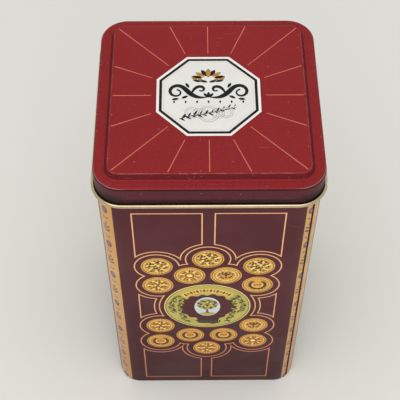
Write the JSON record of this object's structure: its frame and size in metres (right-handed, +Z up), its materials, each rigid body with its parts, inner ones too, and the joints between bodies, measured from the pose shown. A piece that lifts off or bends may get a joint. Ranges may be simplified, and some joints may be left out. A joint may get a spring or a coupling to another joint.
{
  "type": "square slip-lid tin",
  "caption": "Tall square tinplate box with rounded corners, a side seam, a hemmed base and a slip-over lid with a raised top and curled edge.",
  "frame": {"origin": "centre of the base, on the surface the tin stands on", "axes": "+Z up through the lid; -Y is the front, the printed face that is nearest in the picture; +X is to the right of it; the side seam is in the front right corner"},
  "size_m": [0.0878, 0.0878, 0.1619],
  "materials": {
    "body_sheet": "maroon print on tinplate, satin varnish",
    "base_panel": "gold lacquer on tinplate",
    "lid": "red print on tinplate, satin varnish"
  },
  "bodies": {
    "tin": {"body_sheet": "body_sheet", "base_panel": "base_panel"},
    "lid": {"lid": "lid"}
  },
  "joints": [
    {"name": "lid_lift", "type": "slide", "parent": "tin", "child": "lid", "axis": [0, 0, 1], "range_m": [0, 0.06]}
  ]
}
